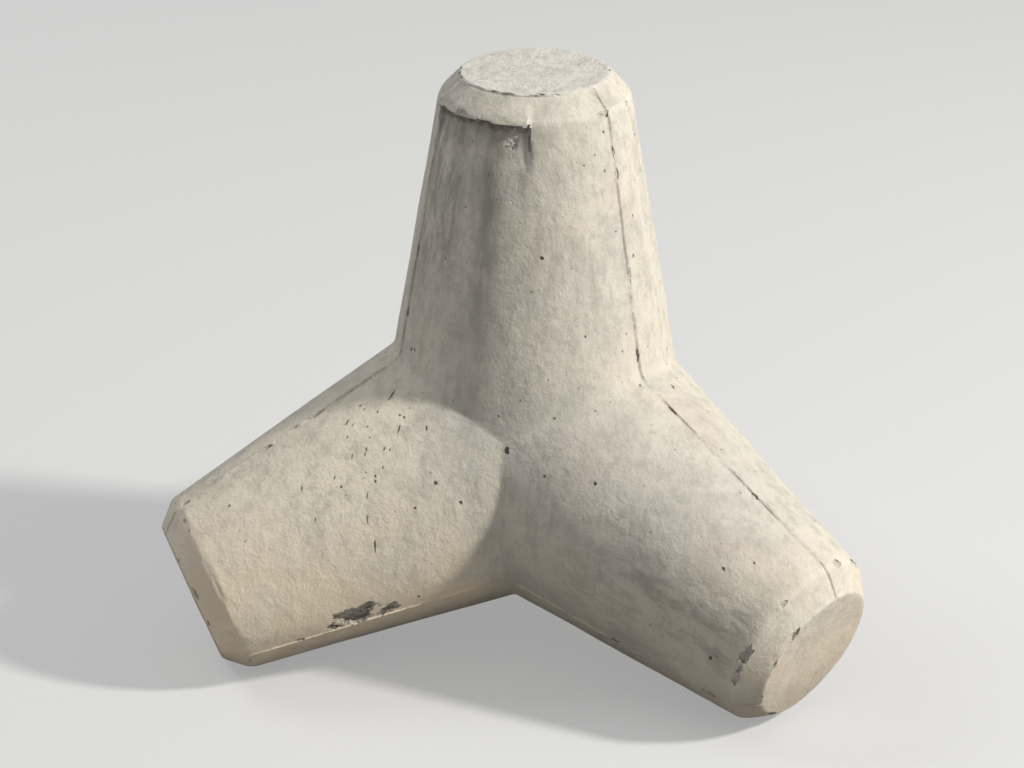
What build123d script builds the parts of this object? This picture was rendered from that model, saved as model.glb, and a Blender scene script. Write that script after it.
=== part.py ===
from build123d import *
from math import asin, atan, cos, degrees, hypot, radians, sin, sqrt, tan
import os

# Concrete tetrapod of the two cubic metre class, cast in one piece: four equal tapered legs
# that meet at the angles of a tetrahedron. It stands on three of them with the fourth
# upright. Lengths are in millimetres, and the origin is where the four leg axes meet.

# Legs
leg_length = 919.0  # from the valley between two legs to the flat leg end
root_radius = 453.0  # at the valley
end_radius = 291.0  # where the taper meets the plane of the leg end
chamfer_width = 55.0  # across the leg end
chamfer_depth = 70.0  # along the leg

# Rounding in the creases between the legs, which fades out where three legs meet
valley_fillet = 65.0
meeting_fillet = 10.0
crease_turns = (-57, -40, -20, 0, 20, 40, 57)  # round a leg, in degrees from the valley
fillet_bite = 0.3  # how far the rounding sinks into the legs beside it
fillet_backing = 25.0  # how deep it reaches below the crease

# Ridges where the four shells of the mould met, one between each two legs
ridge_width = 14.0
ridge_height = 5.0

# The angle between two axes is that of a tetrahedron, so a lower leg slopes down 19.47 degrees
leg_angle = 2 * atan(sqrt(2))
half_angle = leg_angle / 2
lower_leg_turns = (0, 120, 240)
meeting_turn = 60

# The valley lies half-way between two axes, which sets how far out the legs begin to show
valley_distance = root_radius / tan(half_angle)
leg_reach = valley_distance + leg_length
taper = (root_radius - end_radius) / leg_length
centre_radius = end_radius + taper * leg_reach
rim_distance = leg_reach - chamfer_depth
rim_radius = end_radius + taper * chamfer_depth
face_radius = end_radius - chamfer_width

up = Vector(0, 0, 1)
lower = up.rotate(Axis.Y, degrees(leg_angle))
directions = [up] + [lower.rotate(Axis.Z, turn) for turn in lower_leg_turns]
leg_pairs = [(a, b) for place, a in enumerate(directions) for b in directions[place + 1 :]]


def plane_of(direction, other):
    """Plane through the centre that holds two directions, with its x along the first."""
    return Plane(origin=(0, 0, 0), x_dir=direction, z_dir=other.cross(direction))


def ridge_point(distance, radius):
    """Point of the outline between two legs, in a plane whose x lies half-way between them."""
    x = distance * cos(half_angle) + radius * sin(half_angle)
    y = distance * sin(half_angle) - radius * cos(half_angle)
    return (x, y)


def fillet_section(first, second, turn):
    """Plane across a crease, the radius of the ball that rolls there and its half-angle.

    The ball touches both legs, so its centre lies on the legs grown by its radius. Turn is
    measured round the first leg from the valley towards the second.
    """
    fade = cos(radians(turn * 90 / meeting_turn)) ** 2
    ball = meeting_fillet + (valley_fillet - meeting_fillet) * fade
    toward = (second - first * first.dot(second)).normalized()
    outward = toward * cos(radians(turn)) + first.cross(toward) * sin(radians(turn))
    rise = cos(radians(turn)) / tan(half_angle)
    radius = (centre_radius + ball * hypot(1, taper)) / (1 + taper * rise)
    middle = outward * radius + first * (radius * rise)
    normal = (outward + first * taper).normalized()
    apart = (first - second).normalized()
    half_spread = asin(normal.dot(apart))
    open_side = (normal - apart * normal.dot(apart)).normalized()
    return Plane(origin=middle, x_dir=apart, z_dir=apart.cross(open_side)), ball, half_spread


with BuildPart() as tetrapod:
    # Each leg is a turned cone with a chamfer round its flat end
    for place, direction in enumerate(directions):
        with BuildSketch(plane_of(direction, directions[place - 1])):
            with BuildLine():
                Polyline(
                    (0, 0),
                    (leg_reach, 0),
                    (leg_reach, face_radius),
                    (rim_distance, rim_radius),
                    (0, centre_radius),
                    close=True,
                )
            make_face()
        revolve(axis=Axis((0, 0, 0), direction))

    # Each crease is rounded by what a ball leaves when it rolls along it
    for first, second in leg_pairs:
        for turn in crease_turns:
            section_plane, ball, half_spread = fillet_section(first, second, turn)
            reach = ball + fillet_bite
            side, low = reach * sin(half_spread), -reach * cos(half_spread)
            inner = -reach / cos(half_spread) - fillet_backing
            with BuildSketch(section_plane):
                with BuildLine():
                    ThreePointArc((-side, low), (0, -reach), (side, low))
                    Polyline((side, low), (0, inner), (-side, low))
                make_face()
        loft()

    # Each ridge runs from one leg end down through the valley and out along the next leg
    ridge_valley = (centre_radius + ridge_height) / (tan(half_angle) + taper)
    for first, second in leg_pairs:
        with BuildSketch(plane_of((first + second).normalized(), second)) as ridge:
            with BuildLine():
                Polyline(
                    (0, 0),
                    ridge_point(leg_reach, 0),
                    ridge_point(leg_reach, face_radius + ridge_height),
                    ridge_point(rim_distance, rim_radius + ridge_height),
                    (ridge_valley / cos(half_angle), 0),
                )
                mirror(about=Plane.XZ)
            make_face()
            valley_corner = ridge.vertices().sort_by_distance((ridge_valley / cos(half_angle), 0, 0))[0]
            fillet(valley_corner, radius=valley_fillet - ridge_height)
        extrude(amount=ridge_width / 2, both=True)

tetrapod.part.label = "tetrapod"
os.makedirs("parts", exist_ok=True)
export_step(tetrapod.part, "parts/tetrapod.step")
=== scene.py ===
import math
import random

import bmesh
import bpy
from mathutils import Matrix, Vector, noise
from mathutils.bvhtree import BVHTree


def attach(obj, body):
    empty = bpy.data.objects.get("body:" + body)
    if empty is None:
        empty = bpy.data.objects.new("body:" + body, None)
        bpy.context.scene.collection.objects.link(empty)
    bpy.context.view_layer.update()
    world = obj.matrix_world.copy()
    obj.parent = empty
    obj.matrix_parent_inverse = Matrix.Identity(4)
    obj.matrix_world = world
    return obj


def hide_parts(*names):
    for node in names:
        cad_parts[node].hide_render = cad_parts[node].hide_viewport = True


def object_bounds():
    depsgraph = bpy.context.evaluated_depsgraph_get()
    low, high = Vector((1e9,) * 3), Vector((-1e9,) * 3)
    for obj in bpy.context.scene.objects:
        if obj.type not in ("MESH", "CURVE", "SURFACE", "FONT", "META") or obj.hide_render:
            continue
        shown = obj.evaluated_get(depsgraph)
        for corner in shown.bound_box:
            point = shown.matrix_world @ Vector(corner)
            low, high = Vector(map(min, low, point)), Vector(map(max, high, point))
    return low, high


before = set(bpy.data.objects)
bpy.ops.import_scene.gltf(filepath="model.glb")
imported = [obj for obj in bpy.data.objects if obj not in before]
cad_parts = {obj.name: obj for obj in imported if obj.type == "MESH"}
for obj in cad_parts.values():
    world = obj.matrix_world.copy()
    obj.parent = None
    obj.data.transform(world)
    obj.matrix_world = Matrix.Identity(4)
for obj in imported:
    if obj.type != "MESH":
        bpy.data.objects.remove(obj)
cad_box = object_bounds()
scene = bpy.context.scene


# Camera: it stands where the photograph was taken from, 10.5 m off and about 25 degrees above
# the unit, and looks straight at it through a lens long enough for the unit to fill the picture.
camera_place = (6.32, -7.16, 4.36)
camera_target = (0.0, -0.108, 0.20)
camera_lens = 112


def aim(thing, place, target):
    """Stands a camera or a lamp at a place and points it at another."""
    thing.location = place
    line = Vector(target) - Vector(place)
    thing.rotation_euler = line.to_track_quat("-Z", "Y").to_euler()


camera = bpy.data.objects.new("camera", bpy.data.cameras.new("camera"))
camera.data.lens = camera_lens
aim(camera, camera_place, camera_target)
scene.collection.objects.link(camera)
scene.camera = camera


# Tetrapod: one casting of plain concrete, poured through the upper leg into a mould of four
# steel shells that part along the planes of the leg axes. Its four legs are equal tapered
# cones with chamfered ends, in metres from the point where their axes meet.
leg_length = 0.919
root_radius = 0.453
end_radius = 0.291
chamfer_width = 0.055
chamfer_depth = 0.070
leg_angle = math.acos(-1 / 3)
half_angle = leg_angle / 2
valley_distance = root_radius / math.tan(half_angle)
leg_reach = valley_distance + leg_length
taper = (root_radius - end_radius) / leg_length
centre_radius = end_radius + taper * leg_reach
rim_distance = leg_reach - chamfer_depth
rim_radius = end_radius + taper * chamfer_depth
face_radius = end_radius - chamfer_width
up = Vector((0, 0, 1))
lower_leg = Matrix.Rotation(leg_angle, 3, "Y") @ up
directions = [up]
for turn in (0, 120, 240):
    directions.append(Matrix.Rotation(math.radians(turn), 3, "Z") @ lower_leg)

# Places in that list of the upper leg and of the two that point right and left in the picture
upper, right, left = 0, 1, 3


def steps(*runs):
    """Shares of a length at which rings lie. Each run is a count of steps and their size."""
    places = [0.0]
    for count, size in runs:
        for _ in range(count):
            places.append(places[-1] + size)
    return [place / places[-1] for place in places]


# Rings of one leg, closer together in the crease and at the rims, and its columns of points,
# which also lie closer together beside the three seams
side_shares = steps((10, 8), (6, 10), (54, 12.5), (3, 8), (2, 5), (2, 3.5))
chamfer_shares = steps((2, 3.5), (1, 6), (1, 10), (3, 15), (1, 10), (1, 6), (2, 3.5))
face_insets = (0.0035, 0.007, 0.013)
columns = 168
half_sector = columns // 6
seam_offsets = (0, 0.0025, 0.006, 0.0105, 0.017)
radius_rounds = 3


def column_turn(number, radius):
    """Angle between a column of the leg and the seam that it is nearest to."""
    beside = len(seam_offsets) - 1
    if abs(number) <= beside:
        turn = math.asin(seam_offsets[abs(number)] / radius)
    else:
        first = math.asin(seam_offsets[beside] / radius)
        turn = first + (math.pi / 3 - first) * (abs(number) - beside) / (half_sector - beside)
    return math.copysign(turn, number)


def place_on_leg(number, ring):
    """Distance along the leg, radius and turn of the point where a column meets a ring."""
    sides = len(side_shares) - 1
    chamfers = sides + len(chamfer_shares) - 1
    if ring > chamfers:
        radius = face_radius - face_insets[ring - chamfers - 1]
        return leg_reach, radius, column_turn(number, radius)
    if ring > sides:
        share = chamfer_shares[ring - sides]
        radius = rim_radius + (face_radius - rim_radius) * share
        return rim_distance + chamfer_depth * share, radius, column_turn(number, radius)
    radius = root_radius
    for _ in range(radius_rounds):
        turn = column_turn(number, radius)
        spread = math.cos(turn) / math.tan(half_angle)
        crease = centre_radius * spread / (1 + taper * spread)
        distance = crease + (rim_distance - crease) * side_shares[ring]
        radius = centre_radius - taper * distance
    return distance, radius, turn


# One leg starts as a plain sleeve, whose rings are then set on the cone from the crease out
rings = len(side_shares) - 1 + len(chamfer_shares) - 1 + len(face_insets)
casting = bmesh.new()
bmesh.ops.create_cone(casting, segments=columns, radius1=1, radius2=1, depth=rings, cap_ends=False)
upright = [edge for edge in casting.edges if abs(edge.verts[0].co.z - edge.verts[1].co.z) > 1]
bmesh.ops.subdivide_edges(casting, edges=upright, cuts=rings - 1, use_grid_fill=True)
for vertex in casting.verts:
    column = round(math.atan2(vertex.co.y, vertex.co.x) / math.tau * columns)
    sector = round(column / (2 * half_sector))
    ring = round(vertex.co.z + rings / 2)
    distance, radius, turn = place_on_leg(column - sector * 2 * half_sector, ring)
    angle = turn + sector * math.tau / 3
    vertex.co = (radius * math.cos(angle), radius * math.sin(angle), distance)


def edge_angle(edge):
    """Angle round the upper leg at which an edge of its open end lies."""
    middle = (edge.verts[0].co + edge.verts[1].co) / 2
    return math.atan2(middle.y, middle.x) % math.tau


# The flat end is filled with a grid of faces between two opposite quarters of its edge
end_edges = [edge for edge in casting.edges if edge.is_boundary and edge.verts[0].co.z > rim_distance]
end_edges.sort(key=edge_angle)
quarter = columns // 4
opposite = end_edges[:quarter] + end_edges[2 * quarter : 3 * quarter]
bmesh.ops.grid_fill(casting, edges=opposite, use_interp_simple=False)

# A half turn about the line midway between the upper leg and another carries one to the other
weld_distance = 0.0002
upper_leg = casting.verts[:] + casting.edges[:] + casting.faces[:]
for direction in directions[1:]:
    copied = bmesh.ops.duplicate(casting, geom=upper_leg)["geom"]
    half_turn = Matrix.Rotation(math.pi, 3, up + direction)
    moved = [part for part in copied if isinstance(part, bmesh.types.BMVert)]
    bmesh.ops.rotate(casting, cent=(0, 0, 0), matrix=half_turn, verts=moved)
bmesh.ops.remove_doubles(casting, verts=casting.verts, dist=weld_distance)
bmesh.ops.recalc_face_normals(casting, faces=casting.faces)


def nearest_legs(point):
    """The leg that a point is on and the leg that its nearest seam leads to, as numbers."""
    order = sorted(range(4), key=lambda leg: -point.dot(directions[leg]))
    return order[0], order[1]


def cone_of(point, leg):
    """Height of a point over a leg's cone, and the cone's outward normal there."""
    along = point.dot(directions[leg])
    outward = point - directions[leg] * along
    height = (outward.length - centre_radius + taper * along) / math.hypot(1, taper)
    return height, (outward.normalized() + directions[leg] * taper).normalized()


# The creases are rounded as a rolling ball would leave them: 65 mm in the valley between two
# legs, and nearly sharp where three legs meet
valley_fillet = 0.065
meeting_fillet = 0.010
fillet_limit = 0.6
for vertex in casting.verts:
    point = vertex.co
    leg, other = nearest_legs(point)
    if point.dot(directions[leg]) > fillet_limit:
        continue
    height, normal = cone_of(point, leg)
    gap, other_normal = cone_of(point, other)
    toward = directions[other] - directions[leg] * directions[leg].dot(directions[other])
    outward = point - directions[leg] * point.dot(directions[leg])
    fade = math.cos(min(outward.angle(toward) * 1.5, math.pi / 2)) ** 2
    ball = meeting_fillet + (valley_fillet - meeting_fillet) * fade
    cosine = normal.dot(other_normal)
    if gap >= ball * (1 - cosine):
        continue
    lift = math.sqrt((1 + cosine) / 2)
    rest = 2 * ball**2 * (1 + cosine) - gap**2 * (1 + cosine) / (1 - cosine)
    sunk = (gap + math.sqrt(max(rest, 0))) / 2
    vertex.co = point + (normal + other_normal).normalized() * (ball - sunk) / lift

# The rims are worn round
edge_places = ((rim_distance, rim_radius), (leg_reach, face_radius))
worn_reach = 0.014
worn_rounds = 7


def rim_gap(point, leg):
    """Distance of a point from the nearer of the two rims at a leg's end."""
    along = point.dot(directions[leg])
    radius = (point - directions[leg] * along).length
    return min(math.hypot(along - place[0], radius - place[1]) for place in edge_places)


worn = [vertex for vertex in casting.verts if rim_gap(vertex.co, nearest_legs(vertex.co)[0]) < worn_reach]
for _ in range(worn_rounds):
    bmesh.ops.smooth_vert(casting, verts=worn, factor=0.5, use_axis_x=True, use_axis_y=True, use_axis_z=True)


def ease(value, low, high):
    """A smooth rise from 0 at low to 1 at high."""
    share = min(max((value - low) / (high - low), 0), 1)
    return share * share * (3 - 2 * share)


def wave(point, waves, start=(0, 0, 0)):
    """Smooth noise from -1 to 1 at a point, with that many waves to a unit of length."""
    return noise.noise(point * waves + Vector(start))


seam_planes = {}
for first in range(4):
    for second in range(4):
        if first != second:
            seam_planes[first, second] = directions[first].cross(directions[second]).normalized()

# Each seam has a ragged fin, the cast faces wave slowly, and the shells on both sides of a seam
# don't quite meet: sizes in metres, and each wave's height, waves to the metre and start
fin_height = 0.0048
fin_half_widths = (0.0018, 0.0072)
shell_step = 0.0016
shell_step_reach = 0.06
cast_waves = ((0.0024, 2.1, (5, 5, 5)), (0.0013, 6.3, (0, 0, 0)), (0.0007, 19, (0, 0, 0)))
poured_end_roughness = 0.0035
moulded_end_roughness = 0.0012
rim_wear = 0.0012
rim_wear_change = 0.0045

# The mould's lid left a lip on the upper leg's rim and a recess under it, between two turns
# round the leg in degrees
lip_turns = (-120.0, -52.7)
lip_height = 0.011
lip_length = 0.075
recess_depth = 0.013
recess_length = 0.22


def fin(point):
    """Share of the seam's fin that is left at a point along it, from 0 to 1."""
    kept = wave(point, 7, (3, 11, 5))
    frayed = wave(point, 40, (8, 1, 2))
    return ease(kept + 0.35 * frayed, -0.28, 0.0)


def lip_share(point):
    """1 where the lid's lip is on the upper leg, and 0 past its ragged ends."""
    turn = math.degrees(math.atan2(point.y, point.x))
    turn += 2.0 * wave(point, 11, (7, 3, 1)) + 0.8 * wave(point, 37)
    starts = ease(turn, lip_turns[0] - 0.6, lip_turns[0] + 0.6)
    return starts * (1 - ease(turn, lip_turns[1] - 0.7, lip_turns[1] + 0.7))


def under_lip(point):
    """How far a point of the upper leg lies below the wavering edge of that lip."""
    edge = 0.009 + 0.012 * wave(point, 14, (2, 2, 7)) + 0.004 * wave(point, 45)
    return rim_distance - point.z - edge


def relief(point):
    """How far the cast surface stands out from its plain form at a point."""
    leg, other = nearest_legs(point)
    height = 0.0
    for size, waves, start in cast_waves:
        height += size * wave(point, waves, start)
    if point.dot(directions[leg]) > leg_reach - 0.003:
        rough = poured_end_roughness if leg == upper else moulded_end_roughness
        return height + rough * wave(point, 13) + 0.4 * rough * wave(point, 41)
    wear = 1 - ease(rim_gap(point, leg), 0.0, 0.016)
    height -= wear * max(0, rim_wear + rim_wear_change * wave(point, 21, (4, 4, 9)))
    offset = point.dot(seam_planes[leg, other])
    height += fin_height * fin(point) * (1 - ease(abs(offset), *fin_half_widths))
    step = shell_step * wave(point, 1.6, (1, 9, 4))
    height += math.copysign(step, offset) * (1 - ease(abs(offset), 0.006, shell_step_reach))
    if leg == upper:
        below = under_lip(point)
        waver = 0.9 + 0.45 * wave(point, 17)
        if below > 0:
            height -= recess_depth * lip_share(point) * (1 - ease(below, 0.01, recess_length)) * waver
        else:
            height += lip_height * lip_share(point) * (1 - ease(-below, 0.01, lip_length)) * waver
    return height


casting.normal_update()
lifts = [vertex.normal * relief(vertex.co) for vertex in casting.verts]
for vertex, lift in zip(casting.verts, lifts):
    vertex.co += lift
casting.normal_update()
surface = BVHTree.FromBMesh(casting)
mesh = bpy.data.meshes.new("tetrapod_concrete")
casting.to_mesh(mesh)
casting.free()
body = bpy.data.objects.new("tetrapod_concrete", mesh)
scene.collection.objects.link(body)


# What is missing from the casting: air bubbles that were caught against the mould, chips out
# of the rims and seams, and the pieces broken off under the two lower legs that are in view
air_hole, fracture = 1, 2
gone = bmesh.new()
lump_mesh = bpy.data.meshes.new("lump")
chance = random.Random(41)

# Each noise of a lump's surface: its share of the lump's roughness, and its waves to the radius.
# Lumps of few faces have only the first two.
lump_waves = ((1.0, 1.6), (0.4, 4.3), (0.22, 10), (0.12, 22))


def leg_side(leg, other, along, turn):
    """A point on a leg's side and the directions down the leg, round it and outward there."""
    toward = directions[other] - directions[leg] * directions[leg].dot(directions[other])
    toward.normalize()
    outward = toward * math.cos(turn) + directions[leg].cross(toward) * math.sin(turn)
    place = directions[leg] * along + outward * (centre_radius - taper * along)
    normal = (outward + directions[leg] * taper).normalized()
    down = (directions[leg] - outward * taper).normalized()
    return place, down, normal.cross(down), normal


def take_out(place, axes, sizes, detail, roughness, kind):
    """A lump that the casting is cut with, as long along each axis as its three sizes."""
    place = surface.find_nearest(place)[0]
    seed = Vector((chance.uniform(0, 90), chance.uniform(0, 90), chance.uniform(0, 90)))
    layers = lump_waves if detail > 3 else lump_waves[:2]
    lump = bmesh.new()
    bmesh.ops.create_icosphere(lump, subdivisions=detail, radius=1)
    for vertex in lump.verts:
        swell = 1.0
        for share, waves in layers:
            swell += share * roughness * wave(vertex.co, waves, seed)
        spot = vertex.co * swell
        vertex.co = place + axes[0] * spot.x * sizes[0] + axes[1] * spot.y * sizes[1]
        vertex.co += axes[2] * spot.z * sizes[2]
    for face in lump.faces:
        face.material_index = kind
    lump.to_mesh(lump_mesh)
    lump.free()
    gone.from_mesh(lump_mesh)


taken = []


def is_free(place, room):
    """Notes a place as taken, unless it is too near another."""
    if any((place - other).length < room + other_room for other, other_room in taken):
        return False
    taken.append((place, room))
    return True


# The long break under the left leg, beside the seam that leads to the right leg: each piece's
# distance along the leg, turn from the seam in degrees, length, width and depth
breaks = (
    (0.80, 7, 0.085, 0.045, 0.034),
    (0.71, 5, 0.05, 0.026, 0.018),
    (0.88, 4, 0.03, 0.02, 0.012),
)
for along, turn, length, across, depth in breaks:
    place, down, side, normal = leg_side(left, right, along, math.radians(turn))
    is_free(place, length)
    take_out(place, (down, side, normal), (length, across, depth), 5, 0.6, fracture)

# The rim is broken low on the right leg's end
for turn, sizes in ((-45, (0.022, 0.042, 0.010)), (-34, (0.012, 0.020, 0.006))):
    place, down, side, normal = leg_side(right, left, rim_distance, math.radians(turn))
    is_free(place, sizes[1])
    take_out(place, (down, side, normal), sizes, 5, 0.7, fracture)

# The notch where the lip on the upper leg ends, a pale scar beside it, and the hole where
# three legs meet
notch = ((1.152, -52.9, (0.016, 0.010, 0.013)), (1.112, -52.2, (0.026, 0.0045, 0.007)))
scar = ((1.116, -61.0, (0.040, 0.024, 0.0045)),)
for along, turn, sizes in notch + scar:
    place, down, side, normal = leg_side(upper, right, along, math.radians(turn))
    is_free(place, 0.02)
    take_out(place, (down, side, normal), sizes, 4, 0.6, fracture)
meeting = Vector((0.257, -0.419, 0.148)).normalized() * 0.509
meeting_hole = (0.009, 0.010, 0.013)
is_free(meeting, 0.02)
take_out(meeting, (Vector((1, 0, 0)), Vector((0, 1, 0)), up), meeting_hole, 3, 0.5, air_hole)

# Chips along both rims of each leg, a few large ones and then the small ones
chips_per_leg = 26
large_chips = 6
large_chip_sizes = (0.010, 0.018)
small_chip_sizes = (0.004, 0.009)
for leg in range(4):
    for number in range(chips_per_leg):
        other = chance.choice([other for other in range(4) if other != leg])
        turn = chance.uniform(-math.pi / 3, math.pi / 3)
        on_face = chance.random() < 0.45
        size = chance.uniform(*(large_chip_sizes if number < large_chips else small_chip_sizes))
        along, radius = edge_places[1 if on_face else 0]
        place, down, side, normal = leg_side(leg, other, along, turn)
        outward = (place - directions[leg] * along).normalized()
        place = directions[leg] * along + outward * radius
        if is_free(place, size * 2.2):
            long = size * chance.uniform(1.2, 2.4)
            detail = 3 if number < large_chips else 2
            take_out(place, (down, side, normal), (size, long, size * 0.55), detail, 0.5, fracture)

# Pieces of the seams' edges that came away with the mould
seam_pieces = 44
seam_piece_lengths = (0.012, 0.036)
seam_piece_depths = (0.003, 0.006)
seam_piece_width = 0.0075
for _ in range(seam_pieces):
    leg, other = chance.sample(range(4), 2)
    along = chance.uniform(valley_distance + 0.03, rim_distance - 0.02)
    place, down, side, normal = leg_side(leg, other, along, chance.choice((-1, 1)) * 0.012)
    long = chance.uniform(*seam_piece_lengths)
    if is_free(place, long):
        sizes = (long, seam_piece_width, chance.uniform(*seam_piece_depths))
        take_out(place, (down, side, normal), sizes, 3, 0.5, fracture)

# Upright pits on the left leg, in the patch that the photograph shows them in, and the last
# of them farther about it
pits = 34
close_pits = 16
pit_middle = (0.55, -34)
pit_spread = (0.07, 9)
pit_widths = (0.0022, 0.0042)
for number in range(pits):
    spread = 1 if number < close_pits else 2.4
    along = chance.gauss(pit_middle[0], pit_spread[0] * spread)
    turn = math.radians(chance.gauss(pit_middle[1], pit_spread[1] * spread))
    place, down, side, normal = leg_side(left, upper, along, turn)
    upward = (up - normal * normal.z).normalized()
    upward = Matrix.Rotation(chance.gauss(0, 0.22), 3, normal) @ upward
    tall = 0.004 + chance.expovariate(1 / 0.007)
    wide = chance.uniform(*pit_widths)
    if is_free(place, tall):
        take_out(place, (upward, normal.cross(upward), normal), (tall, wide, wide), 2, 0.5, air_hole)

# Round air holes, most of them where the mould was over the concrete
air_holes = 430
smallest_hole = 0.0020
largest_hole = 0.0068
for _ in range(air_holes):
    leg, other = chance.sample(range(4), 2)
    turn = chance.uniform(-math.pi / 3, math.pi / 3)
    along = chance.uniform(valley_distance * 0.75, rim_distance - 0.02)
    place, down, side, normal = leg_side(leg, other, along, turn)
    place, normal = surface.find_nearest(place)[:2]
    side = normal.cross(down).normalized()
    down = side.cross(normal)
    size = min(smallest_hole + chance.expovariate(1 / 0.0013), largest_hole)
    if chance.random() < 0.45 + 0.5 * normal.z + 0.25 * (leg == upper):
        if abs(place.dot(seam_planes[leg, other])) > 0.02 and is_free(place, size + 0.004):
            deep = size * chance.uniform(0.7, 1.1)
            stretch = chance.uniform(0.85, 1.35)
            take_out(place, (down, side, normal), (size * stretch, size, deep), 2, 0.6, air_hole)

gone_mesh = bpy.data.meshes.new("gone")
gone.to_mesh(gone_mesh)
gone.free()
cutter = bpy.data.objects.new("gone", gone_mesh)
scene.collection.objects.link(cutter)
cut = body.modifiers.new("gone", "BOOLEAN")
cut.operation = "DIFFERENCE"
cut.solver = "MANIFOLD"
cut.object = cutter
for count in range(3):
    filler = bpy.data.materials.new("concrete_%d" % count)
    mesh.materials.append(filler)
    gone_mesh.materials.append(filler)
cut_mesh = bpy.data.meshes.new_from_object(body.evaluated_get(bpy.context.evaluated_depsgraph_get()))
body.modifiers.clear()
body.data = cut_mesh
for leftover in (mesh, gone_mesh, lump_mesh):
    bpy.data.meshes.remove(leftover)
cut_mesh.name = "tetrapod_concrete"

# Slivers and crumbs that the cuts left are cleared away, and the pinholes after them closed
clearing_rounds = 12
merge_distance = 0.00004
sliver_width = 0.00002
crumb_faces = 5000
finished = bmesh.new()
finished.from_mesh(cut_mesh)
for _ in range(clearing_rounds):
    awkward = []
    for face in finished.faces:
        folded = any(not corner.is_convex or len(corner.vert.link_edges) < 3 for corner in face.loops)
        if len(face.verts) > 4 or len(face.verts) == 4 and folded:
            awkward.append(face)
    bmesh.ops.triangulate(finished, faces=awkward)
    bmesh.ops.remove_doubles(finished, verts=finished.verts, dist=merge_distance)
    bmesh.ops.dissolve_degenerate(finished, dist=sliver_width, edges=finished.edges)
    faulty = {face for edge in finished.edges if not edge.is_manifold for face in edge.link_faces}
    if not faulty:
        break
    bmesh.ops.delete(finished, geom=list(faulty), context="FACES")
    unseen = set(finished.faces)
    crumbs = []
    while unseen:
        group = [unseen.pop()]
        for face in group:
            for edge in face.edges:
                for beside in edge.link_faces:
                    if beside in unseen:
                        unseen.remove(beside)
                        group.append(beside)
        if len(group) < crumb_faces:
            crumbs += group
    bmesh.ops.delete(finished, geom=crumbs, context="FACES")
    loose = [edge for edge in finished.edges if edge.is_wire]
    bmesh.ops.delete(finished, geom=loose, context="EDGES")
    open_edges = [edge for edge in finished.edges if edge.is_boundary]
    patches = bmesh.ops.holes_fill(finished, edges=open_edges, sides=0)["faces"]
    bmesh.ops.triangulate(finished, faces=patches)
finished.to_mesh(cut_mesh)
finished.free()

# Marks for the finish: what kind of surface each face is, and how near each point is to a
# seam, a rim, a run of dirt and the like, some of them with painted light or painted shade
kinds = cut_mesh.attributes.new("kind", "FLOAT", "FACE")
for face in cut_mesh.polygons:
    kinds.data[face.index].value = face.material_index
    face.material_index = 0
mark_names = ("seam_dirt_and_shade", "rim", "run_and_shade", "blot_and_shade", "painted_light", "lip_dirt_and_shade", "end")
for name in mark_names:
    cut_mesh.attributes.new(name, "FLOAT", "POINT")
marks = {name: cut_mesh.attributes[name].data for name in mark_names}

# Dark runs that the photograph shows on the upper leg, dirt in the narrow ones, and dirt with painted shade
# in the wide ones at -72, -98 and -114 degrees on the side turned from the key lamp: turn, half its width in
# degrees, where it starts and ends above the centre, and how strong it is
runs = (
    (-72.0, 8.0, 1.10, 0.24, 0.68),
    (-73.5, 2.2, 1.14, 0.90, 1.0),
    (-51.8, 1.5, 1.14, 1.02, 1.0),
    (-84.0, 1.5, 1.14, 0.94, 0.8),
    (-98.0, 12.0, 1.14, 0.40, 0.9),
    (-114.0, 13.0, 1.14, 0.28, 0.95),
    (-27.0, 4.0, 0.80, 0.40, 0.3),
)


def run_and_shade_share(point):
    """How dark a point of the upper leg is from the runs of dirt down it and the painted shade in the wide
    ones.
    """
    turn = math.degrees(math.atan2(point.y, point.x))
    turn += 2.5 * noise.noise(Vector((point.z * 2.6, 4.0, 1.0)))
    most = 0.0
    for middle, half_width, top, bottom, strength in runs:
        across = 1 - ease(abs(turn - middle), 0.25 * half_width, half_width)
        down = ease(point.z, bottom, bottom + 0.6 * (top - bottom))
        down *= 1 - ease(point.z, top, top + 0.02)
        most = max(most, across * down * strength)
    return most


# The right leg's blotches of dirt and painted shade lie along a line down its side, at a turn from the seam
# that leads to the left leg, and fainter ones of painted shade round a point beside that line
blot_line_turn = math.radians(-47)
shade_patch_middle = leg_side(right, left, 0.75, math.radians(-30))[0]


def blot_and_shade_share(point):
    """How blotched a point is low on the leg that points right, with dirt and with painted shade."""
    if nearest_legs(point)[0] != right:
        return 0.0
    along = point.dot(directions[right])
    middle = leg_side(right, left, along, blot_line_turn)[0]
    near = 1 - ease((point - middle).length, 0.06, 0.20)
    near *= ease(along, 0.50, 0.85) * (1 - ease(along, 1.10, 1.2))
    wide = 1 - ease((point - shade_patch_middle).length, 0.12, 0.42)
    return max(near, 0.6 * wide)


# Painted light: the side of the left leg that shows is made lighter, as if the key lamp fell on it more
painted_light_side = Vector((0.5, -0.62, 0.40)).normalized()


def painted_light_share(point):
    """How much painted light a point gets on the side of the left leg that shows, which is painted lighter
    than the rest as if the key lamp fell on it more.
    """
    if nearest_legs(point)[0] != left:
        return 0.0
    along = point.dot(directions[left])
    outward = (point - directions[left] * along) / (centre_radius - taper * along)
    return ease(outward.dot(painted_light_side), -0.1, 0.6) * ease(along, 0.25, 0.45)


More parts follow.
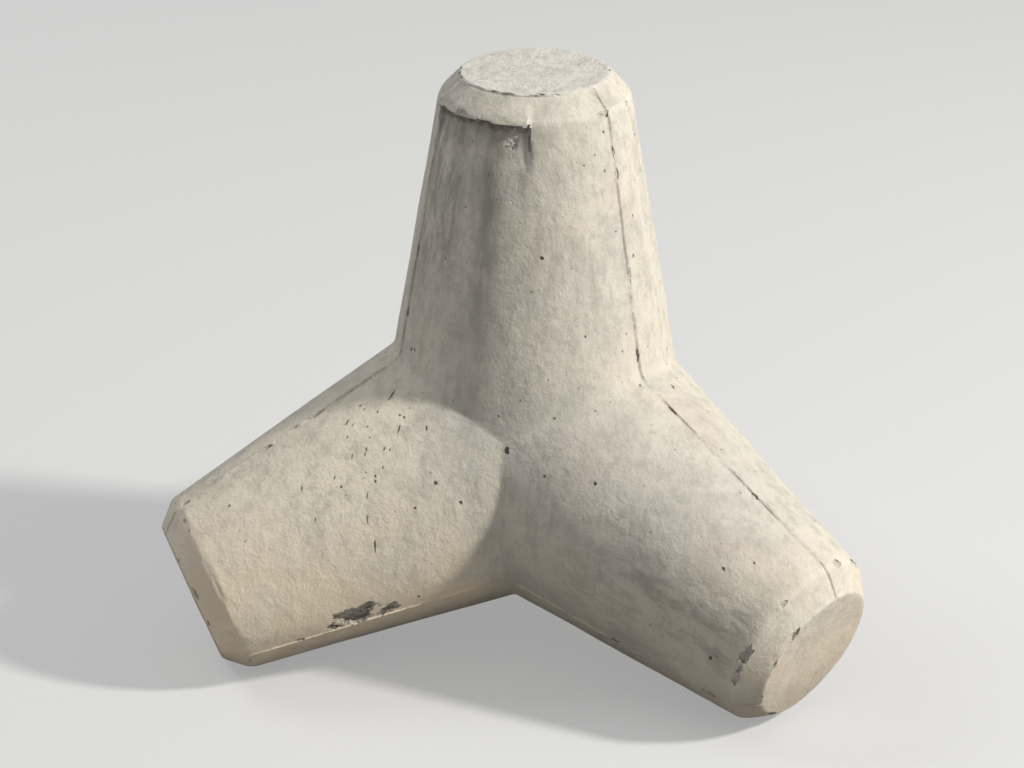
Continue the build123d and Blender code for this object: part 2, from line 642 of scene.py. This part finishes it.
for vertex in cut_mesh.vertices:
    leg, other = nearest_legs(vertex.co)
    on_end = vertex.co.dot(directions[leg]) > leg_reach - 0.006
    offset = abs(vertex.co.dot(seam_planes[leg, other]))
    marks["seam_dirt_and_shade"][vertex.index].value = 0 if on_end else 1 - ease(offset, 0.0, 0.020)
    marks["rim"][vertex.index].value = 1 - ease(rim_gap(vertex.co, leg), 0.002, 0.022)
    marks["run_and_shade"][vertex.index].value = run_and_shade_share(vertex.co) if leg == upper else 0
    marks["blot_and_shade"][vertex.index].value = blot_and_shade_share(vertex.co)
    marks["painted_light"][vertex.index].value = painted_light_share(vertex.co)
    # Dirt and painted shade in a dark line under the lid's lip
    below = under_lip(vertex.co)
    lip_dirt_and_shade_share = ease(below, -0.008, 0.0) * (0.35 + 0.65 * (1 - ease(below, 0.010, 0.030)))
    lip_dirt_and_shade_share *= (1 - ease(below, 0.03, 0.10)) * lip_share(vertex.co)
    marks["lip_dirt_and_shade"][vertex.index].value = lip_dirt_and_shade_share if leg == upper else 0
    marks["end"][vertex.index].value = 1 if on_end else 0
sharp_angle = math.radians(38)
cut_mesh.shade_smooth()
cut_mesh.set_sharp_from_angle(angle=sharp_angle)
cut_mesh.materials.clear()


class Shade:
    """One socket of a material's nodes, so that masks can be worked out as sums are."""

    def __init__(self, tree, socket):
        self.tree = tree
        self.socket = socket

    def node(self, kind, settings, values, output=0):
        """Adds a node with its settings and then its inputs, and gives one of its outputs."""
        added = self.tree.nodes.new(kind)
        for name, setting in settings.items():
            setattr(added, name, setting)
        for name, value in values.items():
            if isinstance(value, Shade):
                self.tree.links.new(value.socket, added.inputs[name])
            else:
                added.inputs[name].default_value = value
        return Shade(self.tree, added.outputs[output])

    def maths(self, operation, first, second):
        """One sum on two values."""
        return self.node("ShaderNodeMath", {"operation": operation}, {0: first, 1: second})

    def __add__(self, other):
        return self.maths("ADD", self, other)

    __radd__ = __add__

    def __sub__(self, other):
        return self.maths("SUBTRACT", self, other)

    def __rsub__(self, other):
        return self.maths("SUBTRACT", other, self)

    def __mul__(self, other):
        return self.maths("MULTIPLY", self, other)

    __rmul__ = __mul__

    def between(self, low, high):
        """Smoothly from 0 at low to 1 at high."""
        settings = {"interpolation_type": "SMOOTHSTEP", "data_type": "FLOAT"}
        return self.node("ShaderNodeMapRange", settings, {0: self, 1: low, 2: high, 3: 0.0, 4: 1.0})

    def blend(self, first, second, mode="MIX"):
        """Blends two colours by this mask."""
        settings = {"data_type": "RGBA", "blend_type": mode, "clamp_factor": True}
        return self.node("ShaderNodeMix", settings, {0: self, 6: first, 7: second}, 2)

    def stretched(self, across, down):
        """Scales a place, so that a pattern on it runs down the object."""
        values = {0: self, 1: (across, across, down)}
        return self.node("ShaderNodeVectorMath", {"operation": "MULTIPLY"}, values)

    def along_leg(self, stretch):
        """Turns a place to the lie of the right leg, and stretches a pattern along that leg."""
        lie = {"Vector": self, "Rotation": (0, leg_angle - math.pi / 2, 0), "Scale": (stretch, 1, 1)}
        return self.node("ShaderNodeMapping", {"vector_type": "TEXTURE"}, lie)

    def noise(self, scale, detail, roughness, distortion=0.0):
        """Cloudy noise at a place."""
        values = {"Vector": self, "Scale": scale, "Detail": detail, "Roughness": roughness}
        return self.node("ShaderNodeTexNoise", {}, {**values, "Distortion": distortion})

    def cells(self, scale):
        """Distance of a place from the nearest of many scattered points."""
        return self.node("ShaderNodeTexVoronoi", {"feature": "F1"}, {"Vector": self, "Scale": scale})

    def part(self, number):
        """One of the three numbers of a place."""
        return self.node("ShaderNodeSeparateXYZ", {}, {0: self}, number)


concrete = bpy.data.materials.new("weathered_concrete")
concrete.use_nodes = True
tree = concrete.node_tree
shader = tree.nodes["Principled BSDF"]
start = Shade(tree, None)
place = start.node("ShaderNodeTexCoord", {}, {}, 3)
facing = start.node("ShaderNodeNewGeometry", {}, {}, 1)
kind, seam_dirt_and_shade, rim, run_and_shade, blot_and_shade, painted_light, lip_dirt_and_shade, end = [
    start.node("ShaderNodeAttribute", {"attribute_name": name}, {}, 2) for name in ("kind", *mark_names)
]
height = place.part(2)
facing_up = facing.part(2)
steep = 1 - facing_up * facing_up
pour = end * height.between(1.1, 1.15)
is_hole = kind.between(0.4, 0.6) * (1 - kind.between(1.4, 1.6))
is_broken = kind.between(1.4, 1.6)

# Cement skin: a warm light grey that drifts to cooler, pinkish and greenish patches
cream = (0.69, 0.635, 0.53, 1)
cool = (0.585, 0.55, 0.49, 1)
pinkish = (0.60, 0.515, 0.435, 1)
greenish = (0.475, 0.465, 0.39, 1)
colour = (place.noise(1.7, 5, 0.6).between(0.38, 0.66) * 0.8).blend(cream, cool)
colour = (place.noise(2.9, 5, 0.62).between(0.54, 0.72) * 0.55).blend(colour, pinkish)
colour = (place.stretched(1, 0.4).noise(3.7, 6, 0.65).between(0.55, 0.72) * 0.5).blend(colour, greenish)

# Rain has washed the dirt into upright streaks
stain_and_seam_shade = (0.30, 0.285, 0.245, 1)
washed_clean = (0.72, 0.675, 0.58, 1)
streaks = place.stretched(1, 0.10).noise(17, 5, 0.62, 0.3)
fine_streaks = place.stretched(1, 0.13).noise(48, 4, 0.6, 0.2)
upper_part = height.between(0.25, 1.0)
washed = steep * (1 - 0.7 * end)
streak_mask = streaks.between(0.52, 0.72) * washed * (0.30 + 0.25 * upper_part)
colour = streak_mask.blend(colour, stain_and_seam_shade)
colour = (fine_streaks.between(0.52, 0.68) * washed * 0.22).blend(colour, stain_and_seam_shade)
pale_streaks = (1 - fine_streaks.between(0.30, 0.46)) * washed * 0.3
colour = pale_streaks.blend(colour, washed_clean)

# Darker runs of dirt down the upper leg, with painted shade in the wide ones on its side turned from the key
# lamp
run_dirt_and_shade = (0.285, 0.265, 0.23, 1)
run_edge = place.stretched(1, 0.16).noise(34, 5, 0.7, 0.3)
colour = (run_and_shade * run_edge.between(0.30, 0.60) * 0.85).blend(colour, run_dirt_and_shade)

# The ends are browner than the sides, and the one that was poured through, which faces up, is less brown and
# painted a cooler grey as painted skylight on it
end_brown = (0.56, 0.475, 0.38, 1)
skylit_top_grey = (0.655, 0.64, 0.60, 1)
brown_mask = end * (0.55 - 0.3 * pour) * place.noise(6, 5, 0.6).between(0.36, 0.60)
colour = brown_mask.blend(colour, end_brown)
# Painted skylight: the poured end, which faces up, is made greyer and cooler
colour = (pour * 0.6).blend(colour, skylit_top_grey)

# Mottling, sand and pores in the skin
mottle_grey = (0.43, 0.405, 0.35, 1)
blotch_grey = (0.46, 0.435, 0.38, 1)
blotch_pale = (0.74, 0.69, 0.59, 1)
sand_pale = (0.74, 0.70, 0.62, 1)
mottle = place.noise(24, 5, 0.7)
colour = (mottle.between(0.50, 0.62) * 0.42).blend(colour, mottle_grey)
blotches = place.stretched(1, 0.6).noise(12, 6, 0.7)
colour = (blotches.between(0.50, 0.62) * 0.36).blend(colour, blotch_grey)
colour = ((1 - blotches.between(0.38, 0.49)) * 0.34).blend(colour, blotch_pale)
speck = place.noise(210, 3, 0.7)
colour = (speck.between(0.56, 0.70) * 0.30).blend(colour, stain_and_seam_shade)
colour = (speck.between(0.42, 0.30) * 0.30).blend(colour, sand_pale)

# Seams carry a dark line of dirt and painted shade beside the fin, the lip a dark line of dirt and painted
# shade under it, and rims are rubbed pale
lip_dirt_and_shade_black = (0.17, 0.15, 0.12, 1)
rubbed = (0.72, 0.68, 0.60, 1)
frayed = place.noise(60, 3, 0.65)
colour = (lip_dirt_and_shade * (0.55 + 0.45 * frayed.between(0.38, 0.58)) * 0.9).blend(colour, lip_dirt_and_shade_black)
# Dirt and painted shade in a dark line along the seams' fins
colour = (seam_dirt_and_shade.between(0.25, 0.95) * frayed.between(0.36, 0.64) * 0.48).blend(colour, stain_and_seam_shade)
colour = (rim.between(0.2, 0.9) * frayed.between(0.30, 0.58) * 0.55).blend(colour, rubbed)

# The lower parts are warmer, more so where the left leg is painted lighter; the left leg's side that shows
# is painted lighter as painted light, undersides are painted greyer as painted shade, the right leg has
# blotches of dirt and painted shade low on its side, and soil has splashed on the lowest parts
warm = (0.74, 0.635, 0.49, 1)
painted_light_gain = (1.17, 1.15, 1.12, 1)
underside_shade_grey = (0.32, 0.30, 0.265, 1)
blot_and_shade_brown = (0.27, 0.25, 0.215, 1)
soil = (0.36, 0.29, 0.215, 1)
low_mask = (0.05 - height).between(0.0, 0.5) * place.noise(3, 5, 0.6).between(0.32, 0.58) * 0.65
colour = (low_mask * (1 + 0.7 * painted_light)).blend(colour, warm)
# Painted light: the left leg's side that shows is multiplied lighter
colour = painted_light.blend(colour, painted_light_gain, "MULTIPLY")
# Painted shade: faces that look down are made greyer
underside_shade = (0.1 - facing_up).between(0.0, 0.6) * (1 - painted_light) * (1 - end)
underside_shade = underside_shade * place.noise(5, 5, 0.6).between(0.25, 0.50)
colour = (underside_shade * 0.45).blend(colour, underside_shade_grey)
# Blotches of dirt and painted shade low on the right leg
blot_edge = place.along_leg(2.6).noise(21, 5, 0.72, 0.6)
blot_and_shade_mask = blot_and_shade * (0.25 + 0.75 * blot_edge.between(0.43, 0.59)) * 0.55
colour = blot_and_shade_mask.blend(colour, blot_and_shade_brown)
splash = (place.noise(9, 6, 0.65) * 0.35 - (height - cad_box[0].z)).between(-0.12, 0.16)
colour = (splash * 0.6).blend(colour, soil)

# Broken places show sand and stones in grey cement, and the air holes are painted dark inside as painted
# shade
pale_stone = (0.67, 0.61, 0.52, 1)
grey_cement = (0.53, 0.49, 0.43, 1)
hole_shade_dark = (0.16, 0.145, 0.125, 1)
stones = place.cells(95)
stone_colour = stones.between(0.10, 0.45).blend(pale_stone, grey_cement)
colour = (is_broken * 0.92).blend(colour, stone_colour)
colour = (is_hole * 0.62).blend(colour, hole_shade_dark)
tree.links.new(colour.socket, shader.inputs["Base Color"])
rough = 0.84 + 0.10 * mottle + 0.04 * is_broken
tree.links.new(rough.socket, shader.inputs["Roughness"])
shader.inputs["Specular IOR Level"].default_value = 0.35

# The bump is the grain of the skin, in metres, coarser on the end that was poured through
sand = place.noise(420, 2, 0.6)
skin = place.noise(95, 4, 0.6)
pores = place.cells(150).between(0.05, 0.22)
pore_mask = place.noise(13, 3, 0.5).between(0.45, 0.62)
ripple = place.noise(38, 4, 0.6)
bump_height = sand * 0.0008 + skin * (0.0017 + 0.0015 * pour) + ripple * (0.0022 + 0.004 * pour)
bump_height = bump_height + pores * pore_mask * 0.0010 + is_broken * stones * 0.004
bump = start.node("ShaderNodeBump", {}, {"Strength": 1.0, "Distance": 1.0, "Height": bump_height})
tree.links.new(bump.socket, shader.inputs["Normal"])
cut_mesh.materials.append(concrete)
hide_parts("tetrapod")
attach(body, "root")


# Floor and light: a plain pale floor, an even pale sky, a broad lamp on the right, where the
# sun stands in the photograph, and a wide weak one high on the left for the open sky there.
floor_size = 40
floor_colour = (0.38, 0.38, 0.375, 1)
floor_lift = (0.33, 0.33, 0.33, 1)
backdrop_colour = (0.64, 0.64, 0.635, 1)
fade_starts = 5.5
fade_ends = 13.0
floor_mesh = bpy.data.meshes.new("floor")
floor_shape = bmesh.new()
bmesh.ops.create_grid(floor_shape, x_segments=1, y_segments=1, size=floor_size)
bmesh.ops.translate(floor_shape, vec=(0, 0, cad_box[0].z), verts=floor_shape.verts)
floor_shape.to_mesh(floor_mesh)
floor_shape.free()
floor = bpy.data.objects.new("floor", floor_mesh)
scene.collection.objects.link(floor)
floor_paint = bpy.data.materials.new("floor")
floor_paint.use_nodes = True
floor_tree = floor_paint.node_tree
floor_shader = floor_tree.nodes["Principled BSDF"]
floor_shader.inputs["Base Color"].default_value = floor_colour
floor_shader.inputs["Roughness"].default_value = 1.0
floor_shader.inputs["Emission Strength"].default_value = 1.0
floor_start = Shade(floor_tree, None)
seen = floor_start.node("ShaderNodeLightPath", {}, {}, 0)
lifted = seen.blend((0, 0, 0, 1), floor_lift)
floor_tree.links.new(lifted.socket, floor_shader.inputs["Emission Color"])

# Far from the unit the floor fades into the backdrop
floor_place = floor_start.node("ShaderNodeTexCoord", {}, {}, 3)
away = floor_place.node("ShaderNodeVectorMath", {"operation": "LENGTH"}, {0: floor_place}, 1)
far_floor = floor_start.node("ShaderNodeEmission", {}, {"Color": backdrop_colour})
near_floor = Shade(floor_tree, floor_shader.outputs[0])
fade = seen * away.between(fade_starts, fade_ends)
whole_floor = fade.node("ShaderNodeMixShader", {}, {0: fade, 1: near_floor, 2: far_floor})
floor_tree.links.new(whole_floor.socket, floor_tree.nodes["Material Output"].inputs["Surface"])
floor_mesh.materials.append(floor_paint)

# The sky lights the unit, and the camera and gloss see the backdrop in its place
sky_colour = (0.96, 0.98, 1, 1)
sky_strength = 0.245
world = bpy.data.worlds.new("studio")
scene.world = world
world.use_nodes = True
world_tree = world.node_tree
sky = world_tree.nodes["Background"]
sky.inputs["Color"].default_value = sky_colour
sky.inputs["Strength"].default_value = sky_strength
world_start = Shade(world_tree, None)
backdrop = world_start.node("ShaderNodeBackground", {}, {"Color": backdrop_colour})
by_camera, by_glossy, by_transmission = [
    world_start.node("ShaderNodeLightPath", {}, {}, name)
    for name in ("Is Camera Ray", "Is Glossy Ray", "Is Transmission Ray")
]
shown = by_camera.maths("MAXIMUM", by_camera, by_glossy)
shown = shown.maths("MAXIMUM", shown, by_transmission)
lit = Shade(world_tree, sky.outputs[0])
either = shown.node("ShaderNodeMixShader", {}, {0: shown, 1: lit, 2: backdrop})
world_tree.links.new(either.socket, world_tree.nodes["World Output"].inputs["Surface"])

lamp_target = (0, 0, 0.1)


def studio_lamp(name, size, watts, colour, place):
    """A round lamp of a width in metres, pointed at the unit's middle."""
    light = bpy.data.lights.new(name, "AREA")
    light.shape = "DISK"
    light.size = size
    light.energy = watts
    light.color = colour
    lamp = bpy.data.objects.new(name, light)
    aim(lamp, place, lamp_target)
    scene.collection.objects.link(lamp)


studio_lamp("key_lamp", 2.0, 3600, (1, 0.98, 0.945), (13.0, 5.9, 11.0))
studio_lamp("fill_lamp", 7, 450, (0.97, 0.985, 1), (-8.4, -3.6, 10.6))

scene.view_settings.view_transform = "Standard"
